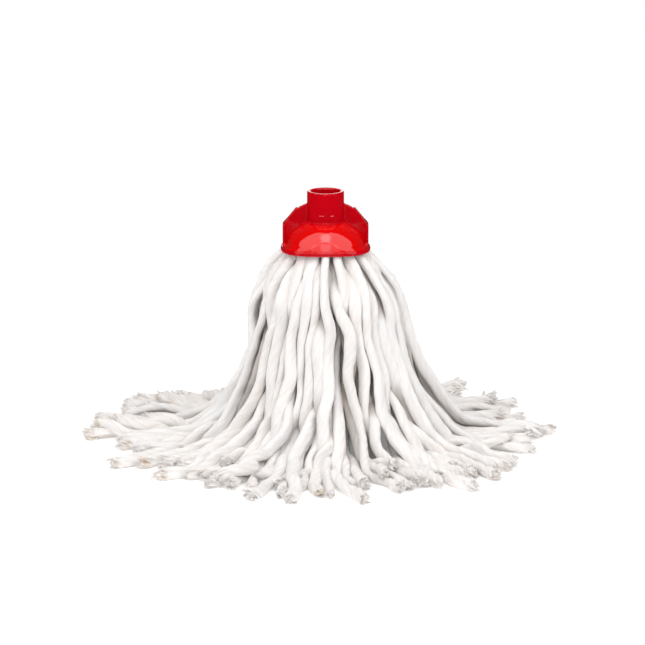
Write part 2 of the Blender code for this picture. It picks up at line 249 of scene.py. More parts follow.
def smoothCurve(points, count):
    # a uniform Catmull-Rom curve through the points
    place = np.linspace(0, len(points) - 1, count)
    k = np.minimum(place.astype(int), len(points) - 2)
    t = (place - k)[:, None]
    before, here = points[np.maximum(k - 1, 0)], points[k]
    there, after = points[k + 1], points[np.minimum(k + 2, len(points) - 1)]
    return 0.5 * (
        2 * here + (there - before) * t + (2 * before - 5 * here + 4 * there - after) * t**2
        + (3 * here - before - 3 * there + after) * t**3
    )


def lengthsAlong(line):
    return np.concatenate([[0], np.cumsum(np.linalg.norm(np.diff(line, axis=0), axis=1))])


def evenly(line, step):
    along = lengthsAlong(line)
    at = np.linspace(0, along[-1], round(along[-1] / step) + 1)
    return np.stack([np.interp(at, along, line[:, k]) for k in range(3)], axis=1)


strandPlan = {
    "step": 4 * mm,  # between a strand's points
    "waveSize": (2.3 * mm, 1.6 * mm),  # sideways, and in and out
    "waveLengths": ((88 * mm, 0.7), (47 * mm, 0.4), (26 * mm, 0.13)),  # with each one's share of the size
    "atHood": 0.97,  # thickness where the hood grips the yarn
    "fluff": 0.06,  # how much fatter the loose ends are
    "fluffLength": 24 * mm,
    "sizes": (0.9, 1.06),  # of whole strands, as a share of the diameter
    "swells": ((61 * mm, 0.045), (27 * mm, 0.03), (13 * mm, 0.015)),  # along a strand: length, share
    "surfaceStrands": 26,  # extra strands that come out between the frame's outer tails
    "topStrands": 16,  # that lie over the others
    "floorStrands": 32,  # that fill the gaps on the floor
    "reach": (0.84, 1.05),
    "topReach": (0.70, 0.98),
    "seed": 4,
    "settleSteps": 140,
    "packing": 0.98,  # how close two strands may come, as a share of their two radii
    "fall": 0.35 * mm,  # a settling step's fall, for what is free to fall
    "coverReach": 13 * mm,  # how near another strand has to be to cover a point
    "cover": (0.5, 2.4),  # the cover at which a point starts to be buried, and is wholly so
}


def lockOf(azimuth):
    # the number of the yarn lock that a strand at this azimuth hangs with
    lock = int(((azimuth / sector - 1) / yarn["tailsPerGroup"] + 0.5) // 1)
    return lock % (yarn["tails"] // yarn["tailsPerGroup"])


def planStrands():
    chances = random.Random(yarn["seed"])
    plans = []

    def addPlan(tail, lock, points, azimuth, free):
        plans.append({"tail": tail, "lock": lock, "points": points, "azimuth": azimuth, "free": free})

    for index in range(yarn["tails"]):
        reachChance, bend, waveChance = [chances.random() for _ in range(3)]
        waves = yarn["waves"][0] + (yarn["waves"][1] - yarn["waves"][0]) * waveChance
        layer = tailLayer(index)
        points = routePoints(sector * index, layer, tailReach(index, reachChance), bend, waves)
        lock = None if layer == 2 else index // yarn["tailsPerGroup"]
        addPlan(index + 1, lock, points, sector * index, 0.0)
    rng = random.Random(strandPlan["seed"])

    def extra(azimuth, layer, reach, emergeAt, emergeOver, drift, lock, free):
        points = routePoints(azimuth, layer, reach * yarn["spread"], rng.random(), rng.uniform(0.6, 1.3),
                             emergeAt, emergeOver, drift)
        addPlan(None, lock, points, azimuth, free)

    for k in range(strandPlan["surfaceStrands"]):
        azimuth = 2 * math.pi * (k + rng.uniform(0.2, 0.8)) / strandPlan["surfaceStrands"]
        drift = sector * rng.choice((-1, 1)) * rng.uniform(0.35, 0.65)
        extra(azimuth, 1.0, rng.uniform(*strandPlan["reach"]), 33 * mm, 24 * mm, drift, lockOf(azimuth), 0.6)
    for k in range(strandPlan["topStrands"]):
        azimuth = 2 * math.pi * (k + rng.uniform(-0.3, 0.3)) / strandPlan["topStrands"]
        drift = sector * rng.uniform(-0.8, 0.8)
        reach = rng.uniform(*strandPlan["topReach"]) * yarn["spread"]
        bend, waves = rng.random(), rng.uniform(0.6, 1.3)
        points = routePoints(azimuth, 1.9, reach, bend, waves, 52 * mm, 26 * mm, drift)
        points[:, 2] += 9 * mm * np.clip((np.hypot(points[:, 0], points[:, 1]) - 70 * mm) / (30 * mm), 0, 1)
        addPlan(None, lockOf(azimuth), points, azimuth, 1.0)
    for k in range(strandPlan["floorStrands"]):
        azimuth = 2 * math.pi * (k + rng.uniform(0.2, 0.8)) / strandPlan["floorStrands"]
        drift = sector * rng.uniform(-0.3, 0.3)
        extra(azimuth, 1.8, rng.uniform(*strandPlan["reach"]), 74 * mm, 40 * mm, drift, None, 0.8)
    return plans


def waved(line, rng):
    # slow irregular waves, across the strand and in and out, that fade in below the hood
    along = lengthsAlong(line)
    tangent = np.gradient(line, axis=0)
    tangent /= np.linalg.norm(tangent, axis=1)[:, None]
    outward = line.copy()
    outward[:, 2] = 0
    outward /= np.linalg.norm(outward, axis=1)[:, None]
    across = np.cross([0, 0, 1.0], outward)
    lift = np.cross(tangent, across)
    grown = np.clip((along - 12 * mm) / (45 * mm), 0, 1)[:, None]
    moved = line.copy()
    for direction, size in zip((across, lift), strandPlan["waveSize"]):
        for length, share in strandPlan["waveLengths"]:
            length *= rng.uniform(0.8, 1.25)
            phase = rng.uniform(0, 2 * math.pi)
            wave = np.sin(2 * math.pi * along / length + phase)[:, None]
            moved += direction * wave * grown * size * share
    return moved


def thicknessAlong(line, rng):
    # share of the full diameter: pinched at the hood, then uneven as hand-spun cotton is
    along = lengthsAlong(line)
    swell = np.clip(along / (60 * mm), 0, 1)
    thick = strandPlan["atHood"] + (1 - strandPlan["atHood"]) * swell * swell * (3 - 2 * swell)
    ending = np.clip(1 - (along[-1] - along) / strandPlan["fluffLength"], 0, 1)
    thick = thick * (1 + strandPlan["fluff"] * np.sin(math.pi * np.minimum(ending, 0.8)))
    size = rng.uniform(*strandPlan["sizes"])
    for length, amount in strandPlan["swells"]:
        phase = rng.uniform(0, 2 * math.pi)
        wave = np.sin(2 * math.pi * along / (length * rng.uniform(0.8, 1.2)) + phase)
        thick = thick * (1 + amount * wave)
    return thick * size


def neighbours(places, owners, reach):
    tree = kdtree.KDTree(len(places))
    for k, place in enumerate(places):
        tree.insert(place, k)
    tree.balance()
    first, second = [], []
    for k, place in enumerate(places):
        for _, other, _ in tree.find_range(place, reach):
            if other > k and owners[other] != owners[k]:
                first.append(k)
                second.append(other)
    return np.array(first), np.array(second)


def settle(lines, radii, free):
    # pushes strands out of each other and lets them down on what is below, each held near its own route
    counts = [len(line) for line in lines]
    guide = np.concatenate(lines)
    radius = np.concatenate(radii)
    owners = np.repeat(np.arange(len(lines)), counts)
    starts = np.cumsum([0] + counts[:-1])
    ends = np.cumsum(counts) - 1
    index = np.arange(len(guide))
    before, after = index - 1, index + 1
    before[starts], after[ends] = starts, ends
    along = np.concatenate([lengthsAlong(line) for line in lines])
    looseness = np.repeat(free, counts)
    low = np.clip((90 * mm - guide[:, 2]) / (60 * mm), 0, 1)
    hold = np.clip(1 - along / (30 * mm), 0, 1) ** 2 * 0.5 + 0.06 - 0.045 * looseness * (0.4 + 0.6 * low)
    holdUp = hold * (1 - 0.8 * low * looseness)
    holds = np.stack([hold, hold, holdUp], axis=1)
    place = guide.copy()
    pairs = None
    for step in range(strandPlan["settleSteps"]):
        if step % 7 == 0:
            pairs = neighbours(place, owners, 2 * radius.max() * 1.02)
        a, b = pairs
        apart = place[b] - place[a]
        far = np.maximum(np.linalg.norm(apart, axis=1), 1e-6)
        need = (radius[a] + radius[b]) * strandPlan["packing"] - far
        touching = need > 0
        push = (np.where(touching, need, 0) / far * 0.5)[:, None] * apart
        shift = np.zeros_like(place)
        touches = np.zeros(len(place))
        for ends_, sign in ((a, -1), (b, 1)):
            for axis in range(3):
                shift[:, axis] += sign * np.bincount(ends_, push[:, axis], len(place))
            touches += np.bincount(ends_, touching, len(place))
        place += shift / np.maximum(1, touches * 0.55)[:, None]
        place[:, 2] -= strandPlan["fall"] * low * looseness
        offset = (place - guide) * (1 - holds)
        for _ in range(2):
            offset += 0.5 * ((offset[before] + offset[after]) / 2 - offset)
        offset[starts] = 0
        place = guide + offset
        place[:, 2] = np.maximum(place[:, 2], radius * 0.92)
    return [place[s:e + 1] for s, e in zip(starts, ends)]


def buriedShares(lines):
    # for each point, how far the strands outside it cover it; the cotton paints shade by this share
    places = np.concatenate(lines)
    counts = [len(line) for line in lines]
    owners = np.repeat(np.arange(len(lines)), counts)
    flat = places * (1, 1, 0)
    outward = flat / np.maximum(np.linalg.norm(flat, axis=1), 1e-6)[:, None]
    outward[:, 2] = 0.3 + 0.6 * np.clip(1 - places[:, 2] / (70 * mm), 0, 1)
    outward /= np.linalg.norm(outward, axis=1)[:, None]
    a, b = neighbours(places, owners, strandPlan["coverReach"])
    apart = places[b] - places[a]
    apart /= np.maximum(np.linalg.norm(apart, axis=1), 1e-6)[:, None]
    over = np.maximum(np.sum(apart * outward[a], axis=1) - 0.35, 0)
    under = np.maximum(-np.sum(apart * outward[b], axis=1) - 0.35, 0)
    cover = np.bincount(a, over, len(places)) + np.bincount(b, under, len(places))
    low, high = strandPlan["cover"]
    share = np.clip((cover - low) / (high - low), 0, 1)
    return np.split(share, np.cumsum(counts)[:-1])


strands = planStrands()
waveRng = random.Random(strandPlan["seed"] + 1)
for strand in strands:
    fine = smoothCurve(strand["points"], 401)
    fine[:, 2] = np.maximum(fine[:, 2], yarn["tailDiameter"] / 2)
    line = evenly(fine, strandPlan["step"])
    strand["line"] = waved(line, waveRng)
    strand["thickness"] = thicknessAlong(line, waveRng)
settled = settle(
    [s["line"] for s in strands],
    [s["thickness"] * yarn["strandDiameter"] / 2 for s in strands],
    [s["free"] for s in strands],
)
for strand, line, buried in zip(strands, settled, buriedShares(settled)):
    strand["line"] = line
    strand["buried"] = buried
print("strands settled:", len(strands))


# Yarn: what a strand looks like

spun = {
    "Sides": 25,
    "Ring Spacing": 2.2 * mm,
    "Plies": 4,
    "Twist Length": 54 * mm,
    "Groove Depth": 0.5 * mm,
    "Loosening": 110 * mm,
    "Flatness": 1.0 * mm,
    "Lumps": 0.6 * mm,
    "End Lumps": 1.5 * mm,
    "Tufts": 12,
    "Fray Length": 10 * mm,
    "Fray Opening": 0.36,
    "Curl": 4 * mm,
    "Fibres": 60,
    "Fibre Diameter": 0.32 * mm,
    "Fibre Reach": 4 * mm,
    "Hairs": 70,
    "Hair Length": 6 * mm,
    "Hair Diameter": 0.16 * mm,
    "Seed": 1,
}
looseEnds = {
    "Fray Opening": 0.9,
    "Fray Length": 13 * mm,
    "Curl": 8 * mm,
    "Tufts": 18,
    "Fibre Reach": 6 * mm,
    "End Lumps": 2.2 * mm,
}
countInputs = ("Sides", "Plies", "Tufts", "Fibres", "Hairs", "Seed")
fibreRadius = 4.5 * mm  # the fibre pattern runs round a cylinder of this size


def field(tree, what, output=0):
    # what Geometry Nodes know of the point at hand
    return tree.nodes.new("GeometryNode" + what).outputs[output]


def named(tree, name):
    node = addNode(tree, "GeometryNodeInputNamedAttribute", {"Name": name}, data_type="FLOAT")
    return node.outputs["Attribute"]


def store(tree, geometry, name, value, kind="FLOAT"):
    values = {"Geometry": geometry, "Name": name, "Value": value}
    return addNode(tree, "GeometryNodeStoreNamedAttribute", values, data_type=kind, domain="POINT").outputs[0]


def moved(tree, geometry, offset):
    return addNode(tree, "GeometryNodeSetPosition", {"Geometry": geometry, "Offset": offset}).outputs[0]


def thickened(tree, curve, radius):
    return addNode(tree, "GeometryNodeSetCurveRadius", {"Curve": curve, "Radius": radius}).outputs[0]


def copiesOf(tree, curve, amount):
    values = {"Geometry": curve, "Amount": amount}
    return addNode(tree, "GeometryNodeDuplicateElements", values, domain="SPLINE").outputs


def stretchOf(tree, curve, start, end, points):
    # the part of each curve between two lengths, as this many points
    cut = addNode(tree, "GeometryNodeTrimCurve", {0: curve, 4: start, 5: end}, mode="LENGTH").outputs[0]
    return addNode(tree, "GeometryNodeResampleCurve", {"Curve": cut, "Count": points}).outputs[0]


def ownChance(tree, group, number, low=0.0, high=1.0):
    # one random number for each spline
    index = field(tree, "InputIndex")
    own = addNode(tree, "GeometryNodeFieldOnDomain", {0: index}, domain="CURVE", data_type="INT").outputs[0]
    seed = plus(tree, times(tree, group.outputs["Seed"], 17), number)
    values = {2: low, 3: high, "ID": own, "Seed": seed}
    return addNode(tree, "FunctionNodeRandomValue", values, data_type="FLOAT").outputs[1]


def tube(tree, curve, sides, turnName=None):
    values = {"Resolution": sides, "Radius": 1.0}
    circle = addNode(tree, "GeometryNodeCurvePrimitiveCircle", values).outputs["Curve"]
    if turnName:
        turn = calc(tree, "DIVIDE", times(tree, field(tree, "InputIndex"), 2 * math.pi), sides)
        circle = store(tree, circle, turnName, turn)
    values = {"Curve": curve, "Profile Curve": circle, "Scale": field(tree, "InputRadius"), "Fill Caps": True}
    return addNode(tree, "GeometryNodeCurveToMesh", values).outputs[0]


def acrossAt(tree, turn, far):
    # a vector across the curve, at this turn round it and this far out
    normal, tangent = field(tree, "InputNormal"), field(tree, "InputTangent")
    side = vector(tree, "CROSS_PRODUCT", tangent, normal)
    out = vector(tree, "SCALE", normal, times(tree, calc(tree, "COSINE", turn), far))
    return vector(tree, "ADD", out, vector(tree, "SCALE", side, times(tree, calc(tree, "SINE", turn), far)))


def noiseVector(tree, place, scale, size):
    wild = addNode(tree, "ShaderNodeTexNoise", {"Vector": place, "Scale": scale, "Detail": 2.0})
    return vector(tree, "SCALE", vector(tree, "SUBTRACT", wild.outputs["Color"], (0.5, 0.5, 0.5)), size)


def aboveFloor(tree, geometry, height):
    apart = addNode(tree, "ShaderNodeSeparateXYZ", {0: field(tree, "InputPosition")}).outputs
    up = calc(tree, "MAXIMUM", apart[2], height)
    place = addNode(tree, "ShaderNodeCombineXYZ", {0: apart[0], 1: apart[1], 2: up}).outputs[0]
    return addNode(tree, "GeometryNodeSetPosition", {"Geometry": geometry, "Position": place}).outputs[0]


def spunBody(tree, group, curve):
    # the strand itself: its plies wind round it, with grooves between them that open towards its end
    size = group.outputs
    left = named(tree, "endward")
    closing = ramp(tree, left, 0.0, times(tree, size["Fray Length"], 0.5), smooth=False)
    closing = calc(tree, "MAXIMUM", calc(tree, "POWER", closing, 0.5), 0.35)
    closed = thickened(tree, curve, times(tree, field(tree, "InputRadius"), closing))
    body = tube(tree, closed, size["Sides"], "turn")
    turn, strand = named(tree, "turn"), named(tree, "strand")
    ply = calc(tree, "ABSOLUTE", calc(tree, "SINE", times(tree, turn, times(tree, size["Plies"], 0.5))))
    valley = calc(tree, "SUBTRACT", 1.0, calc(tree, "POWER", ply, 0.7))
    opened = ramp(tree, left, times(tree, size["Loosening"], 0.3), size["Loosening"], 1.0, 0.28)
    depth = times(tree, size["Groove Depth"], ramp(tree, strand, 0.0, 1.0, 0.25, 1.0), opened)
    sink = times(tree, valley, depth, -1.0)
    # a little flat, on a side that turns slowly along the strand
    lie = plus(tree, times(tree, strand, 40.0), times(tree, named(tree, "along"), 14.0))
    around = calc(tree, "SUBTRACT", plus(tree, turn, named(tree, "spin")), lie)
    flat = times(tree, calc(tree, "COSINE", times(tree, around, 2.0)), size["Flatness"])
    place = field(tree, "InputPosition")
    lump = calc(tree, "SUBTRACT", noise(tree, place, 120.0, 3.0), 0.5)
    lump = times(tree, lump, times(tree, size["Lumps"], 2.0))
    nearEnd = ramp(tree, left, 0.0, times(tree, size["Fray Length"], 1.4), 2.0, 0.0)
    knob = calc(tree, "SUBTRACT", noise(tree, place, 330.0), 0.5)
    knob = times(tree, knob, times(tree, size["End Lumps"], nearEnd))
    body = store(tree, body, "groove", times(tree, valley, opened))
    fibre = addNode(tree, "ShaderNodeCombineXYZ", {
        0: times(tree, calc(tree, "COSINE", turn), fibreRadius),
        1: times(tree, calc(tree, "SINE", turn), fibreRadius),
        2: named(tree, "along"),
    }).outputs[0]
    body = store(tree, body, "fibre", fibre, "FLOAT_VECTOR")
    rise = plus(tree, sink, flat, plus(tree, lump, knob))
    body = moved(tree, body, vector(tree, "SCALE", field(tree, "InputNormal"), rise))
    return aboveFloor(tree, body, 0.1 * mm)


def lastStretch(tree, group, curve, extra, points, amount):
    # the end of each strand, several times over
    total = field(tree, "SplineLength", "Length")
    start = calc(tree, "SUBTRACT", total, plus(tree, group.outputs["Fray Length"], extra))
    return copiesOf(tree, stretchOf(tree, curve, start, total, points), amount)


def plyEnds(tree, group, curve):
    # the end of the strand comes apart in soft tufts
    size = group.outputs
    copies = lastStretch(tree, group, curve, 3 * mm, 9, size["Tufts"])
    share = field(tree, "SplineParameter", "Factor")
    radius, place = field(tree, "InputRadius"), field(tree, "InputPosition")
    turn = times(tree, calc(tree, "DIVIDE", copies["Duplicate Index"], size["Tufts"]), 4 * math.pi)
    opening = times(tree, size["Fray Opening"], ownChance(tree, group, 3, 0.1, 1.0))
    opening = times(tree, calc(tree, "POWER", share, 2.0), opening)
    far = times(tree, radius, plus(tree, ownChance(tree, group, 16, 0.15, 0.72), opening))
    back = times(tree, share, ownChance(tree, group, 4, -6 * mm, 2 * mm))
    back = vector(tree, "SCALE", field(tree, "InputTangent"), back)
    own = vector(tree, "SCALE", (1.0, 0.7, 0.4), ownChance(tree, group, 5, 0.0, 9.0))
    shifted = vector(tree, "ADD", place, own)
    curl = noiseVector(tree, shifted, 110.0, times(tree, share, size["Curl"]))
    offset = vector(tree, "ADD", vector(tree, "ADD", acrossAt(tree, turn, far), back), curl)
    ends = moved(tree, copies["Geometry"], offset)
    tip = calc(tree, "POWER", calc(tree, "SUBTRACT", 1.0, calc(tree, "POWER", share, 5.0)), 0.5)
    bead = ramp(tree, noise(tree, shifted, 420.0), 0.3, 0.7, 0.6, 1.35)
    thick = times(tree, radius, ownChance(tree, group, 17, 0.2, 0.36), bead, calc(tree, "MAXIMUM", tip, 0.25))
    ends = store(tree, thickened(tree, ends, thick), "groove", 0.15)
    ends = store(tree, ends, "fibre", shifted, "FLOAT_VECTOR")
    return aboveFloor(tree, tube(tree, aboveFloor(tree, ends, 1.2 * mm), 8), 0.1 * mm)


def looseFibres(tree, group, curve):
    # the fibres that stand out of the cut end
    size = group.outputs
    copies = lastStretch(tree, group, curve, 0.0, 6, size["Fibres"])
    share = field(tree, "SplineParameter", "Factor")
    radius, place = field(tree, "InputRadius"), field(tree, "InputPosition")
    turn = ownChance(tree, group, 6, 0.0, 2 * math.pi)
    inner = calc(tree, "POWER", ownChance(tree, group, 7), 0.5)
    opening = times(tree, size["Fray Opening"], ownChance(tree, group, 8))
    opening = times(tree, calc(tree, "POWER", share, 1.6), opening)
    far = times(tree, radius, inner, plus(tree, 0.85, opening))
    reach = times(tree, size["Fibre Reach"], ownChance(tree, group, 9, -0.9, 1.0))
    onward = vector(tree, "SCALE", field(tree, "InputTangent"), times(tree, share, reach))
    own = vector(tree, "SCALE", (0.6, 1.0, 0.8), ownChance(tree, group, 10, 0.0, 9.0))
    curl = noiseVector(tree, vector(tree, "ADD", place, own), 120.0, times(tree, share, size["Curl"]))
    offset = vector(tree, "ADD", vector(tree, "ADD", acrossAt(tree, turn, far), onward), curl)
    ends = moved(tree, copies["Geometry"], offset)
    thick = times(tree, size["Fibre Diameter"], 0.5, ramp(tree, share, 0.0, 1.0, 1.6, 0.5))
    ends = store(tree, thickened(tree, ends, thick), "groove", 0.0)
    return tube(tree, aboveFloor(tree, ends, 0.3 * mm), 3)


def surfaceHairs(tree, group, curve):
    # short fibres that have worked loose along the strand
    size = group.outputs
    copies = copiesOf(tree, curve, size["Hairs"])
    start = times(tree, field(tree, "SplineLength", "Length"), ownChance(tree, group, 11, 0.02, 0.95))
    end = plus(tree, start, times(tree, size["Hair Length"], ownChance(tree, group, 12, 0.5, 1.3)))
    cut = stretchOf(tree, copies["Geometry"], start, end, 4)
    share = field(tree, "SplineParameter", "Factor")
    winding = times(tree, share, ownChance(tree, group, 14, -0.5, 0.9))
    turn = plus(tree, ownChance(tree, group, 13, 0.0, 2 * math.pi), winding)
    lift = times(tree, calc(tree, "POWER", share, 1.5), ownChance(tree, group, 15, 0.0, 1.6 * mm))
    far = plus(tree, times(tree, field(tree, "InputRadius"), 0.97), lift)
    hairs = moved(tree, cut, acrossAt(tree, turn, far))
    thick = times(tree, size["Hair Diameter"], 0.5, ramp(tree, share, 0.0, 1.0, 1.2, 0.5))
    hairs = store(tree, thickened(tree, hairs, thick), "groove", 0.0)
    return tube(tree, aboveFloor(tree, hairs, 0.2 * mm), 3)


def makeStrandTree():
    tree = bpy.data.node_groups.new("spunStrand", "GeometryNodeTree")
    addInput(tree, "Geometry", "Geometry")
    for name, value in spun.items():
        addInput(tree, name, "Int" if name in countInputs else "Float", value)
    addInput(tree, "Material", "Material")
    tree.interface.new_socket("Geometry", in_out="OUTPUT", socket_type="NodeSocketGeometry")
    group = tree.nodes.new("NodeGroupInput")
    values = {"Curve": group.outputs["Geometry"], 3: group.outputs["Ring Spacing"]}
    curve = addNode(tree, "GeometryNodeResampleCurve", values, mode="LENGTH").outputs[0]
    along = field(tree, "SplineParameter", "Length")
    total = field(tree, "SplineLength", "Length")
    curve = store(tree, curve, "buried", field(tree, "InputCurveTilt"))
    curve = store(tree, curve, "along", along)
    curve = store(tree, curve, "endward", calc(tree, "SUBTRACT", total, along))
    curve = store(tree, curve, "strand", ownChance(tree, group, 1))
    curve = store(tree, curve, "tip", ramp(tree, named(tree, "endward"), 0.0, 12 * mm, 1.0, 0.0))
    twist = times(tree, group.outputs["Twist Length"], ownChance(tree, group, 2, 0.6, 1.7))
    turns = calc(tree, "DIVIDE", along, twist)
    curve = store(tree, curve, "spin", times(tree, plus(tree, turns, named(tree, "strand")), 2 * math.pi))
    values = {"Curve": curve, "Tilt": named(tree, "spin")}
    curve = addNode(tree, "GeometryNodeSetCurveTilt", values).outputs[0]
    join = tree.nodes.new("GeometryNodeJoinGeometry")
    for made in (spunBody, plyEnds, looseFibres, surfaceHairs):
        tree.links.new(made(tree, group, curve), join.inputs[0])
    smooth = addNode(tree, "GeometryNodeSetShadeSmooth", {"Geometry": join.outputs[0]}).outputs[0]
    real = addNode(tree, "GeometryNodeRealizeInstances", {"Geometry": smooth}).outputs[0]
    values = {"Geometry": real, "Material": group.outputs["Material"]}
    done = addNode(tree, "GeometryNodeSetMaterial", values).outputs[0]
    tree.links.new(done, tree.nodes.new("NodeGroupOutput").inputs[0])
    return tree


def makeStrands(name, members, tree, material, changes):
    # the strands of one piece, as one plain mesh
    data = bpy.data.curves.new(name + "Path", "CURVE")
    data.dimensions = "3D"
    for member in members:
        spline = data.splines.new("POLY")
        spline.points.add(len(member["line"]) - 1)
        values = zip(spline.points, member["line"], member["thickness"], member["buried"])
        for point, place, thick, buried in values:
            point.co = (*place, 1)
            point.radius = thick * yarn["strandDiameter"] / 2
            point.tilt = buried  # the nodes read it, then set their own tilt
    guide = addObject(name + "Path", data)
    modifier = guide.modifiers.new("strands", "NODES")
    modifier.node_group = tree
    values = {**spun, **changes, "Material": material}
    for socket in tree.interface.items_tree:
        if socket.in_out == "INPUT" and socket.name in values:
            modifier[socket.identifier] = values[socket.name]
    mesh = evaluatedMesh(guide, name)
    bpy.data.objects.remove(guide)
    bpy.data.curves.remove(data)
    return addObject(name, mesh)


# Materials

def makeMottle():
    # uneven tone: two sizes of noise between a low and a high value
    tree = bpy.data.node_groups.new("mottle", "ShaderNodeTree")
    for name, kind, value in (
        ("Vector", "Vector", (0, 0, 0)), ("Scale", "Float", 100.0),
        ("Low", "Float", 0.0), ("High", "Float", 1.0),
    ):
        addInput(tree, name, kind, value)
    tree.interface.new_socket("Value", in_out="OUTPUT", socket_type="NodeSocketFloat")
    out = tree.nodes.new("NodeGroupInput").outputs
    broad = noise(tree, out["Vector"], out["Scale"], 3.0)
    fine = noise(tree, out["Vector"], times(tree, out["Scale"], 6.0))
    both = plus(tree, times(tree, broad, 0.65), times(tree, fine, 0.35))
    value = ramp(tree, both, 0.3, 0.7, out["Low"], out["High"])
    tree.links.new(value, tree.nodes.new("NodeGroupOutput").inputs[0])
    return tree


mottle = makeMottle()


def newMaterial(name, roughness, **sockets):
    material = bpy.data.materials.new(name)
    material.use_nodes = True
    tree = material.node_tree
    shader = tree.nodes["Principled BSDF"]
    shader.inputs["Roughness"].default_value = roughness
    for key, value in sockets.items():
        shader.inputs[key.replace("_", " ")].default_value = value
    return material, tree, shader


def mottled(tree, place, scale, low, high):
    node = addNode(tree, "ShaderNodeGroup")
    node.node_tree = mottle
    tree.links.new(place, node.inputs["Vector"])
    for key, value in (("Scale", scale), ("Low", low), ("High", high)):
        node.inputs[key].default_value = value
    return node.outputs["Value"]


def mixed(tree, share, first, second, blend="MIX"):
    node = addNode(tree, "ShaderNodeMix", data_type="RGBA", blend_type=blend)
    for key, value in ((0, share), (6, first), (7, second)):
        if isinstance(value, bpy.types.NodeSocket):
            tree.links.new(value, node.inputs[key])
        else:
            node.inputs[key].default_value = value
    return node.outputs[2]


def attribute(tree, name, output="Fac"):
    return addNode(tree, "ShaderNodeAttribute", attribute_name=name).outputs[output]


cotton = {
    "cool": (0.87, 0.87, 0.875, 1),
    "warm": (0.89, 0.85, 0.825, 1),
    "shade": (0.62, 0.55, 0.49, 1),
    # deep: the dark brown of the painted shade on covered and turned-away strands
    "deep": (0.20, 0.15, 0.115, 1),
    "stain": (0.62, 0.42, 0.22, 1),
    "grooveShade": 0.3,
    "fibreShade": 0.28,
    "sideShade": 0.6,
    "depthShade": 0.85,
    "tipShade": 0.16,
    "stainShare": 0.55,
}


def makeCotton():
    material, tree, shader = newMaterial(
        "cottonYarn", 0.92, Sheen_Weight=0.35, Sheen_Roughness=0.6, Specular_IOR_Level=0.2)
    fibre = attribute(tree, "fibre", "Vector")
    tip = attribute(tree, "tip")
    streaks = addNode(tree, "ShaderNodeMapping", {"Vector": fibre, "Scale": (1.0, 1.0, 0.09)}).outputs[0]
    place = addNode(tree, "ShaderNodeTexCoord").outputs["Object"]
    patches = mottled(tree, place, 38.0, 0.0, 1.0)
    warmth = times(tree, plus(tree, attribute(tree, "strand"), patches), 0.5)
    tone = mixed(tree, warmth, cotton["cool"], cotton["warm"])
    lines = mottled(tree, streaks, 480.0, 0.0, 1.0)
    dark = times(tree, attribute(tree, "groove"), cotton["grooveShade"])
    dark = plus(tree, dark, times(tree, tip, cotton["tipShade"]))
    dark = calc(tree, "ADD", dark, times(tree, lines, cotton["fibreShade"]), clamp=True)
    colour = mixed(tree, dark, tone, cotton["shade"])
    # painted shade: the strands' flanks, turned away from the outside of the mop, and the parts that other
    # strands cover are darkened towards a deep brown
    apart = addNode(tree, "ShaderNodeSeparateXYZ", {0: place}).outputs
    flatPlace = addNode(tree, "ShaderNodeCombineXYZ", {0: apart[0], 1: apart[1], 2: 0.0}).outputs[0]
    level = ramp(tree, apart[2], 0.0, 70 * mm, 0.9, 0.3)
    upward = addNode(tree, "ShaderNodeCombineXYZ", {2: level}).outputs[0]
    outward = vector(tree, "ADD", vector(tree, "NORMALIZE", flatPlace), upward)
    facing = addNode(tree, "ShaderNodeNewGeometry").outputs["Normal"]
    toward = vector(tree, "DOT_PRODUCT", vector(tree, "NORMALIZE", outward), facing)
    flank = times(tree, ramp(tree, toward, -0.8, -0.1, 1.0, 0.0), cotton["sideShade"])
    flank = times(tree, flank, ramp(tree, tip, 0.0, 1.0, 1.0, 0.3))
    buried = times(tree, attribute(tree, "buried"), cotton["depthShade"])
    buried = times(tree, buried, ramp(tree, apart[2], 12 * mm, 60 * mm, 0.2, 1.0))
    buried = times(tree, buried, ramp(tree, apart[2], 120 * mm, 155 * mm, 1.0, 0.5))
    colour = mixed(tree, calc(tree, "MAXIMUM", flank, buried), colour, cotton["deep"])
    spots = ramp(tree, mottled(tree, place, 60.0, 0.0, 1.0), 0.74, 0.98)
    colour = mixed(tree, times(tree, spots, tip, cotton["stainShare"]), colour, cotton["stain"])
    tree.links.new(colour, shader.inputs["Base Color"])
    height = plus(tree, times(tree, lines, 0.7), times(tree, noise(tree, streaks, 2600.0), 0.3))
    bump = addNode(tree, "ShaderNodeBump", {"Strength": 0.7, "Distance": 0.4 * mm, "Height": height})
    tree.links.new(bump.outputs[0], shader.inputs["Normal"])
    return material


cottonYarn = makeCotton()


# Hood: one moulding in gloss plastic

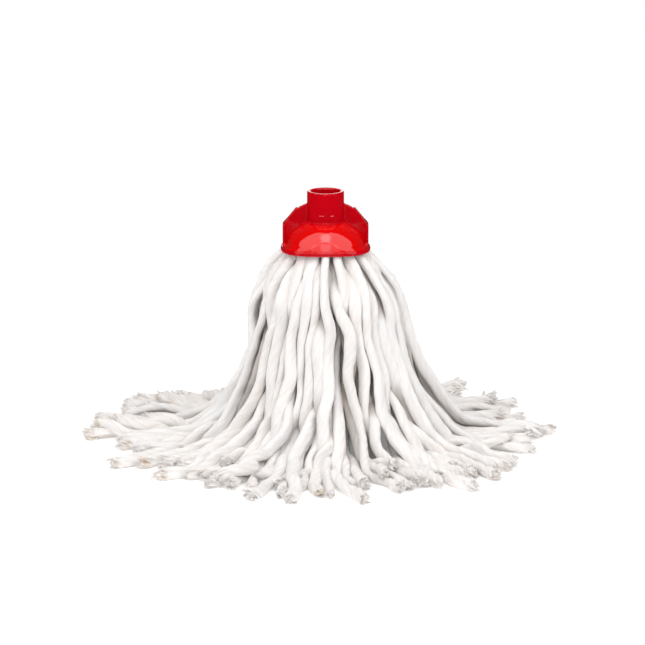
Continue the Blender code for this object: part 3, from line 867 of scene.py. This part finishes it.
hoodShape = {
    "neckRadius": 15.2 * mm,
    "neckTop": 48.3 * mm,
    "neckEdge": 0.8 * mm,
    "boreRadius": 11.85 * mm,
    "boreDepth": 28 * mm,
    "boreChamfer": 1 * mm,
    "threadPitch": 5 * mm,
    "threadHeight": 0.9 * mm,
    "threadTurns": 2.5,
    "domeTop": 23 * mm,
    "domeHalfWidth": 31.8 * mm,
    "domeHalfDepth": 36.2 * mm,
    "domeNarrowing": 2.5,
    "domeLean": 0.80,  # under 1, the dome's front still slopes where it meets the lip
    "flareTop": 6.4 * mm,
    "lipHeight": 4.4 * mm,
    "lipEdge": 0.8 * mm,
    "lipHalfWidth": 37 * mm,
    "lipHalfDepth": 36.8 * mm,
    "lipWall": 1.6 * mm,
    "creaseDepth": 0.4 * mm,  # of the groove between the dome and the lip
    "squareness": 2.8,
    "wall": 2 * mm,
    "floorThickness": 2.2 * mm,
    "webThickness": 3.2 * mm,
    "plateFace": 35.3 * mm,
    "plateThickness": 1.8 * mm,
    "plateHalfDepth": 7 * mm,
    "webTopAtNeck": 37.7 * mm,
    "webTopAtPlate": 33.9 * mm,
    "webWidensFrom": 5 * mm,
    "shoulderX": 23.8 * mm,
    "shoulderTop": 35 * mm,
    "cornerLow": 20.4 * mm,
    "bossRadius": 5.3 * mm,
    "bossWall": 2.2 * mm,
    "bossLength": 10 * mm,
    "markHeight": 29.7 * mm,
    "markSize": (0.7 * mm, 0.7 * mm),  # tall, deep
    "marks": ((-4.3 * mm, 1.2 * mm), (-2.4 * mm, 1.3 * mm), (6.0 * mm, 4.2 * mm)),  # dashes: middle, length
    "voxel": 0.48 * mm,
    "softening": 3,
    "segments": 160,
}


def loft(name, rows, segments=hoodShape["segments"]):
    # a closed skin through rows of (half width, half depth, height, squareness)
    mesh = bpy.data.meshes.new(name)
    body = bmesh.new()
    rings = []
    for halfWidth, halfDepth, height, squareness in rows:
        ring = []
        for k in range(segments):
            turn = 2 * math.pi * k / segments
            x, y = math.cos(turn), math.sin(turn)
            size = (abs(x) ** squareness + abs(y) ** squareness) ** (-1 / squareness)
            ring.append(body.verts.new((halfWidth * x * size, halfDepth * y * size, hoodBase + height)))
        rings.append(ring)
    for upper, lower in zip(rings, rings[1:]):
        for k in range(segments):
            after = (k + 1) % segments
            body.faces.new((upper[k], lower[k], lower[after], upper[after]))
    body.faces.new(rings[0])
    body.faces.new(reversed(rings[-1]))
    bmesh.ops.recalc_face_normals(body, faces=body.faces)
    body.to_mesh(mesh)
    body.free()
    return addObject(name, mesh)


def prism(name, outline, step):
    # a closed slab: the outline's points, and the same points a step further on
    mesh = bpy.data.meshes.new(name)
    body = bmesh.new()
    face = body.faces.new([body.verts.new(point) for point in outline])
    grown = bmesh.ops.extrude_face_region(body, geom=[face])
    moved = [v for v in grown["geom"] if isinstance(v, bmesh.types.BMVert)]
    bmesh.ops.translate(body, verts=moved, vec=step)
    bmesh.ops.recalc_face_normals(body, faces=body.faces)
    body.to_mesh(mesh)
    body.free()
    return addObject(name, mesh)


def cutOrJoin(obj, operation, other):
    modifier = obj.modifiers.new(other.name, "BOOLEAN")
    modifier.operation = operation
    modifier.object = other


def domeRows(inset, steps=28):
    h = hoodShape
    low, high = h["flareTop"], h["domeTop"] - inset
    inner = h["neckRadius"] - inset / 2
    rows = []
    for k in range(steps + 1):
        turn = math.pi / 2 * k / steps
        out = math.sin(turn)
        halfWidth = inner + (h["domeHalfWidth"] - inset - inner) * out ** h["domeNarrowing"]
        forward = math.sin(h["domeLean"] * turn) / math.sin(h["domeLean"] * math.pi / 2)
        halfDepth = inner + (h["domeHalfDepth"] - inset - inner) * forward
        squareness = 2 + (h["squareness"] - 2) * out
        rows.append((halfWidth, halfDepth, low + (high - low) * math.cos(turn), squareness))
    return rows


def hoodOutside():
    h = hoodShape
    rows = []
    for k in range(7):  # the neck's rounded rim
        turn = math.pi / 2 * k / 6
        radius = h["neckRadius"] - h["neckEdge"] * (1 - math.sin(turn))
        rows.append((radius, radius, h["neckTop"] - h["neckEdge"] * (1 - math.cos(turn)), 2))
    rows += domeRows(0)
    # the sides spread into the lip, with a crease above it that fades out towards them
    crease = h["creaseDepth"]
    heights = (5.6, 4.8, 4.1, 3.8, 3.4, 3.2, 2.9, 1.6, 0.8, 0.25, 0)
    sunk = (0, 0, 0, 1, 1, 0.3, 0, 0, 0, 0, 0)
    drawnIn = (0.42, 0.24, 0.1, 0.05, 0.05, 0, 0, 0, 0, 0.12, 0.6)
    for height, share, inset in zip(heights, sunk, drawnIn):
        spread = min(1, (h["flareTop"] - height * mm) / (h["flareTop"] - h["lipEdge"]))
        halfWidth = h["domeHalfWidth"] + (h["lipHalfWidth"] - h["domeHalfWidth"]) * spread
        edge = inset * mm if height < h["lipEdge"] / mm else 0
        halfDepth = h["lipHalfDepth"] - inset * mm - crease * share
        rows.append((halfWidth - edge, halfDepth, height * mm, h["squareness"]))
    return rows


def ceilingHeight():
    return hoodShape["neckTop"] - hoodShape["boreDepth"] - hoodShape["floorThickness"]


def hoodCavity():
    h = hoodShape
    ceiling = ceilingHeight()
    boss, bossEnd = h["bossRadius"] + h["bossWall"], ceiling - h["bossLength"]
    rounds = [
        (h["bossRadius"], ceiling), (h["bossRadius"], bossEnd), (boss, bossEnd),
        (boss, ceiling), (h["neckRadius"] - 0.75 * h["wall"], ceiling),
    ]
    halfWidth, halfDepth = h["lipHalfWidth"] - h["lipWall"], h["lipHalfDepth"] - h["lipWall"]
    return [
        *((radius, radius, height, 2) for radius, height in rounds),
        *domeRows(h["wall"]),
        (halfWidth, halfDepth, h["lipEdge"], h["squareness"]),
        (halfWidth, halfDepth, -h["wall"], h["squareness"]),
    ]


def boreRows():
    h = hoodShape
    bore, top = h["boreRadius"], h["neckTop"]
    mouth = bore + h["boreChamfer"]
    rows = [(mouth + h["wall"], top + h["wall"]), (mouth, top)]
    rows += [(bore, top - h["boreChamfer"]), (bore, top - h["boreDepth"])]
    return [(radius, radius, height, 2) for radius, height in rows]


def wing(side):
    # a web that widens in a hollow curve into the side plate, cut to its profile seen from the front
    h = hoodShape
    start, innerFace = h["neckRadius"] - h["wall"], h["plateFace"] - h["plateThickness"]
    curveStart, halfWeb = h["neckRadius"] + h["webWidensFrom"], h["webThickness"] / 2
    edge = [(start, halfWeb)]
    for k in range(25):
        turn = math.pi / 2 * k / 24
        x = curveStart + (innerFace - curveStart) * math.sin(turn)
        edge.append((x, halfWeb + (h["plateHalfDepth"] - halfWeb) * (1 - math.cos(turn))))
    edge.append((h["plateFace"], h["plateHalfDepth"]))
    plan = edge + [(x, -y) for x, y in reversed(edge)]
    foot = h["lipHeight"] - 1.5 * mm
    profile = [(start, foot), (start, h["webTopAtNeck"])]
    for k in range(13):
        share = k / 12
        x = h["neckRadius"] + (h["shoulderX"] - 1 * mm - h["neckRadius"]) * share
        profile.append((x, h["webTopAtNeck"] - (h["webTopAtNeck"] - h["webTopAtPlate"]) * share**1.5))
    profile += [(h["shoulderX"], h["shoulderTop"]), (h["plateFace"], h["cornerLow"]), (h["plateFace"], foot)]
    solid = prism(f"wing{side}", [(side * x, -60 * mm, hoodBase + z) for x, z in profile], (0, 120 * mm, 0))
    cutter = prism(f"wingPlan{side}", [(side * x, y, hoodBase - 20 * mm) for x, y in plan], (0, 0, 100 * mm))
    cutOrJoin(solid, "INTERSECT", cutter)
    return solid, cutter


def threadRidge():
    h = hoodShape
    data = bpy.data.curves.new("threadPath", "CURVE")
    data.dimensions = "3D"
    data.bevel_depth = h["threadHeight"]
    data.bevel_resolution = 3
    data.use_fill_caps = True
    steps = round(h["threadTurns"] * 60)
    start = h["neckTop"] - (2 + h["threadTurns"]) * h["threadPitch"]
    spline = data.splines.new("POLY")
    spline.points.add(steps)
    for k, point in enumerate(spline.points):
        turn = 2 * math.pi * h["threadTurns"] * k / steps
        height = hoodBase + start + h["threadPitch"] * h["threadTurns"] * k / steps
        point.co = (h["boreRadius"] * math.cos(turn), h["boreRadius"] * math.sin(turn), height, 1)
    path = addObject("threadPath", data)
    mesh = evaluatedMesh(path, "threadRidge")
    bpy.data.objects.remove(path)
    body = bmesh.new()
    body.from_mesh(mesh)
    bmesh.ops.remove_doubles(body, verts=body.verts, dist=0.001 * mm)
    bmesh.ops.recalc_face_normals(body, faces=body.faces)
    body.to_mesh(mesh)
    body.free()
    return addObject("threadRidge", mesh)


def addNeckMarks(mesh):
    # plain raised dashes on the front of the neck
    h = hoodShape
    body = bmesh.new()
    body.from_mesh(mesh)
    tall, deep = h["markSize"]
    for middle, long in h["marks"]:
        front = -math.sqrt(h["neckRadius"] ** 2 - middle**2)
        turned = Matrix.Rotation(math.atan2(middle, -front), 4, "Z")
        size = Matrix.Diagonal((long, deep, tall, 1))
        place = Matrix.Translation((middle, front, hoodBase + h["markHeight"]))
        made = bmesh.ops.create_cube(body, size=1.0, matrix=place @ turned @ size)
        edges = {edge for vert in made["verts"] for edge in vert.link_edges}
        bmesh.ops.bevel(body, geom=list(edges), offset=0.12 * mm, segments=2, affect="EDGES")
    body.to_mesh(mesh)
    body.free()


def markHollows(mesh):
    # attribute hollow: 1 in the inside corners, which keep a duller surface
    count = len(mesh.vertices)
    ends = np.empty(2 * len(mesh.edges), dtype=np.int64)
    mesh.edges.foreach_get("vertices", ends)
    first, second = ends.reshape(-1, 2).T
    place, normal = np.empty(3 * count), np.empty(3 * count)
    mesh.vertices.foreach_get("co", place)
    mesh.vertices.foreach_get("normal", normal)
    place, normal = place.reshape(-1, 3), normal.reshape(-1, 3)
    neighbourCount = np.maximum(np.bincount(first, minlength=count) + np.bincount(second, minlength=count), 1)

    def spread(values):
        total = np.bincount(first, values[second], count) + np.bincount(second, values[first], count)
        return total / neighbourCount

    pull = np.stack([spread(place[:, k]) for k in range(3)], axis=1) - place
    rise = np.sum(pull * normal, axis=1) / hoodShape["voxel"]
    for _ in range(2):
        rise = spread(rise)
    share = np.clip((rise - 0.02) / 0.05, 0, 1)
    mesh.attributes.new("hollow", "FLOAT", "POINT").data.foreach_set("value", share.astype(np.float32))


def markDome(mesh):
    # attribute onDome: 1 on the dome, 0 on the lip, the neck and the wings, which take a darker red as
    # painted shade and less gloss; attribute mark: 1 on the dashes, which take a lighter red as a painted
    # highlight
    rows = np.array([row for row in domeRows(0)])[::-1]
    place = np.empty(3 * len(mesh.vertices))
    mesh.vertices.foreach_get("co", place)
    x, y, z = np.abs(place.reshape(-1, 3).T)
    height = z - hoodBase
    width, depth, power = [np.interp(height, rows[:, 2], rows[:, k]) for k in (0, 1, 3)]
    out = ((x / width) ** power + (y / depth) ** power) ** (1 / power)
    outside = np.clip((out - 1.0) / 0.035, 0, 1) * (height > hoodShape["flareTop"] - 1 * mm)
    neck = np.clip((height - hoodShape["domeTop"] + 1 * mm) / (1 * mm), 0, 1)
    lip = 1 - np.clip((height - 3.0 * mm) / (0.9 * mm), 0, 1)
    share = (1 - outside) * (1 - neck) * (1 - lip)
    mesh.attributes.new("onDome", "FLOAT", "POINT").data.foreach_set("value", share.astype(np.float32))
    raised = np.abs(height - hoodShape["markHeight"]) < 1 * mm
    raised &= np.hypot(x, y) > hoodShape["neckRadius"] + 0.1 * mm
    raised &= x < hoodShape["neckRadius"] / 2
    mesh.attributes.new("mark", "FLOAT", "POINT").data.foreach_set("value", raised.astype(np.float32))


def makeHood(material):
    hood = loft("hoodBlank", hoodOutside())
    helpers = []
    for side in (-1, 1):
        solid, cutter = wing(side)
        cutOrJoin(hood, "UNION", solid)
        helpers += [solid, cutter]
    for operation, other in (
        ("DIFFERENCE", loft("cavity", hoodCavity())), ("DIFFERENCE", loft("bore", boreRows())),
        ("UNION", threadRidge()),
    ):
        cutOrJoin(hood, operation, other)
        helpers.append(other)
    remesh = hood.modifiers.new("remesh", "REMESH")
    remesh.mode = "VOXEL"
    remesh.voxel_size = hoodShape["voxel"]
    smooth = hood.modifiers.new("soften", "SMOOTH")
    smooth.factor = 0.5
    smooth.iterations = hoodShape["softening"]
    mesh = evaluatedMesh(hood, "hoodMoulding")
    for helper in (hood, *helpers):
        bpy.data.objects.remove(helper)
    addNeckMarks(mesh)
    mesh.materials.clear()
    mesh.materials.append(material)
    mesh.shade_smooth()
    markDome(mesh)
    markHollows(mesh)
    piece = addObject("hoodMoulding", mesh)
    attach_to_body(piece, "mop_head")
    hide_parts("hood")
    print("hood ready, faces:", len(mesh.polygons))
    return piece


redGloss = {
    # the neck, wings and lip take a darker red than the dome: painted shade on one red moulding
    "neck": (0.53, 0.0, 0.006, 1),
    "dome": (0.73, 0.0, 0.0, 1),
    "uneven": (0.93, 0.93, 0.93, 1),
    # mark: a lighter red painted on the raised dashes as a highlight
    "mark": (0.80, 0.16, 0.22, 1),
    "domeCoat": 0.6,
    "neckShine": 0.3,
    "domeShine": 0.35,
}


def makeRedGloss():
    material, tree, shader = newMaterial("redGloss", 0.1, Coat_Weight=0.9, Coat_Roughness=0.05)
    place = addNode(tree, "ShaderNodeTexCoord").outputs["Object"]
    # painted shade: a darker red off the dome
    colour = mixed(tree, attribute(tree, "onDome"), redGloss["neck"], redGloss["dome"])
    colour = mixed(tree, mottled(tree, place, 55.0, 0.0, 1.0), colour, redGloss["uneven"], "MULTIPLY")
    # painted highlight on the raised dashes
    colour = mixed(tree, attribute(tree, "mark"), colour, redGloss["mark"])
    tree.links.new(colour, shader.inputs["Base Color"])
    hollow = attribute(tree, "hollow")
    rough = calc(tree, "ADD", mottled(tree, place, 160.0, 0.08, 0.13), calc(tree, "MULTIPLY", hollow, 0.5))
    tree.links.new(rough, shader.inputs["Roughness"])
    gloss = calc(tree, "MULTIPLY", calc(tree, "SUBTRACT", 1.0, hollow), attribute(tree, "onDome"))
    tree.links.new(calc(tree, "MULTIPLY", gloss, redGloss["domeCoat"]), shader.inputs["Coat Weight"])
    shine = ramp(tree, attribute(tree, "onDome"), 0.0, 1.0, redGloss["neckShine"], redGloss["domeShine"])
    shine = calc(tree, "MULTIPLY", shine, calc(tree, "SUBTRACT", 1.0, hollow))
    tree.links.new(shine, shader.inputs["Specular IOR Level"])
    ripple = noise(tree, place, 70.0, 1.0)
    bump = addNode(tree, "ShaderNodeBump", {"Strength": 0.25, "Distance": 0.08 * mm, "Height": ripple})
    tree.links.new(bump.outputs[0], shader.inputs["Normal"])
    return material


makeHood(makeRedGloss())


# Yarn: the pieces

strandTree = makeStrandTree()


def attach(piece, lock):
    if lock is None:
        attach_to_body(piece, "mop_head")
        return
    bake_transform(piece)


totalFaces = 0
for number, strand in enumerate(s for s in strands if s["tail"]):
    changes = {"Seed": number + 1}
    piece = makeStrands(f"yarnTail{strand['tail']:02d}", [strand], strandTree, cottonYarn, changes)
    attach(piece, strand["lock"])
    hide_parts(f"yarn_tail_{strand['tail']:02d}")
    totalFaces += len(piece.data.polygons)
for lock in [None, *range(yarn["tails"] // yarn["tailsPerGroup"])]:
    members = [s for s in strands if not s["tail"] and s["lock"] == lock]
    if members:
        number = 0 if lock is None else lock + 1
        changes = {"Seed": 100 + number, **looseEnds}
        piece = makeStrands(f"looseStrands{number:02d}", members, strandTree, cottonYarn, changes)
        attach(piece, lock)
        totalFaces += len(piece.data.polygons)
print("yarn ready, faces:", totalFaces)


# Inside the hood: the yarn's folds, the core and the wire that hold them

folds = {
    "in": (0.0, 0.10, 0.25, 0.39, 0.55, 0.62),  # share of the tail's own distance from the axis
    "up": (0.0, 3.2 * mm, 7.2 * mm, 9.2 * mm, 6.8 * mm, 2.6 * mm),
    "thickness": 0.78,
    # buried: how much painted shade the folds get
    "buried": 0.3,
}


def makeFolds(tree, material):
    members = []
    for index, strand in enumerate(strands[:yarn["tails"]]):
        if tailLayer(index) == 2:
            continue
        start = strand["line"][0]
        steps = zip(folds["in"], folds["up"])
        points = [start * (1 - share, 1 - share, 1) + (0, 0, up) for share, up in steps]
        line = evenly(smoothCurve(np.array(points), 60), 2 * mm)
        buried = np.full(len(line), folds["buried"])
        members.append({"line": line, "thickness": np.full(len(line), folds["thickness"]), "buried": buried})
    changes = {"Fibres": 4, "Hairs": 3, "Fray Opening": 0.1, "Seed": 77}
    piece = makeStrands("yarnFolds", members, tree, material, changes)
    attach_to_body(piece, "mop_head")
    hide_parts("yarn_collar")


def makeCorePlastic():
    material, tree, shader = newMaterial("corePlastic", 0.5)
    place = addNode(tree, "ShaderNodeTexCoord").outputs["Object"]
    colour = mixed(tree, mottled(tree, place, 90.0, 0.0, 1.0), (0.70, 0.70, 0.68, 1), (0.78, 0.78, 0.75, 1))
    tree.links.new(colour, shader.inputs["Base Color"])
    tree.links.new(mottled(tree, place, 300.0, 0.42, 0.58), shader.inputs["Roughness"])
    return material


def makeWireSteel():
    material, tree, shader = newMaterial("wireSteel", 0.35, Metallic=1.0)
    place = addNode(tree, "ShaderNodeTexCoord").outputs["Object"]
    colour = mixed(tree, mottled(tree, place, 240.0, 0.0, 1.0), (0.50, 0.50, 0.52, 1), (0.66, 0.66, 0.67, 1))
    tree.links.new(colour, shader.inputs["Base Color"])
    tree.links.new(mottled(tree, place, 500.0, 0.25, 0.45), shader.inputs["Roughness"])
    return material


makeFolds(strandTree, cottonYarn)
for node, material in (("retaining_core", makeCorePlastic()), ("binding_wire", makeWireSteel())):
    mesh = bpy.data.objects[node].data
    mesh.materials.clear()
    mesh.materials.append(material)


# Stage and light

stage = {
    "floorSize": 0.62,
    "floorTone": (0.93, 0.93, 0.93, 1),
    "worldTone": (1.0, 1.0, 1.0, 1),
    "worldSeen": 1.0,
    "worldLight": 0.33,
    "worldGloss": 0.04,
    "floorGlow": (0.18, 0.55),  # under the mop, and around it
    "softboxes": {  # azimuth and height in degrees, distance, width, length, brightness
        "Left": (-49, 50, 1.35, 1.5, 2.2, 1.68),
        "Right": (49, 50, 1.35, 1.5, 2.2, 1.68),
        "Middle": (0, 42, 1.3, 0.16, 2.2, 1.3),
        "Front": (0, 20, 1.5, 1.25, 1.4, 1.2),
        "Back": (180, 13, 1.8, 0.9, 0.7, 2.2),
    },
    "shineOnly": ("Front",),  # shows in the gloss without lighting the yarn
}


def makeStage():
    mesh = bpy.data.meshes.new("floor")
    body = bmesh.new()
    bmesh.ops.create_circle(body, cap_ends=True, segments=96, radius=stage["floorSize"])
    body.to_mesh(mesh)
    body.free()
    floor = addObject("floor", mesh)
    material, tree, shader = newMaterial(
        "paleFloor", 0.8, Base_Color=stage["floorTone"], Specular_IOR_Level=0.1)
    shader.inputs["Emission Color"].default_value = (1, 1, 1, 1)
    place = addNode(tree, "ShaderNodeTexCoord").outputs["Object"]
    glow = ramp(tree, vector(tree, "LENGTH", place), 0.10, 0.24, *stage["floorGlow"])
    tree.links.new(glow, shader.inputs["Emission Strength"])
    floor.data.materials.append(material)
    world = bpy.data.worlds.new("studio")
    bpy.context.scene.world = world
    world.use_nodes = True
    tree = world.node_tree
    tree.nodes.clear()
    path = tree.nodes.new("ShaderNodeLightPath").outputs
    seen = calc(tree, "MULTIPLY", path["Is Camera Ray"], stage["worldSeen"] - stage["worldLight"])
    gloss = calc(tree, "MULTIPLY", path["Is Glossy Ray"], stage["worldGloss"] - stage["worldLight"])
    strength = calc(tree, "ADD", calc(tree, "ADD", seen, gloss), stage["worldLight"])
    background = addNode(tree, "ShaderNodeBackground", {"Color": stage["worldTone"], "Strength": strength})
    out = tree.nodes.new("ShaderNodeOutputWorld")
    tree.links.new(background.outputs[0], out.inputs[0])


def softbox(name, azimuth, height, distance, width, length, brightness):
    data = bpy.data.lights.new("softbox" + name, "AREA")
    data.shape = "ELLIPSE"
    data.size = width
    data.size_y = length
    data.energy = brightness * math.pi * math.pi * width * length / 4
    lamp = addObject(data.name, data)
    turn, tilt = math.radians(azimuth), math.radians(height)
    away = Vector((math.sin(turn) * math.cos(tilt), -math.cos(turn) * math.cos(tilt), math.sin(tilt)))
    lamp.location = Vector((0, 0, 0.15)) + distance * away
    lamp.rotation_euler = (-away).to_track_quat("-Z", "Y").to_euler()
    lamp.visible_camera = False
    lamp.visible_diffuse = name not in stage["shineOnly"]


makeStage()
for name, values in stage["softboxes"].items():
    softbox(name, *values)
bpy.context.scene.view_settings.view_transform = "Standard"
print("stage ready")
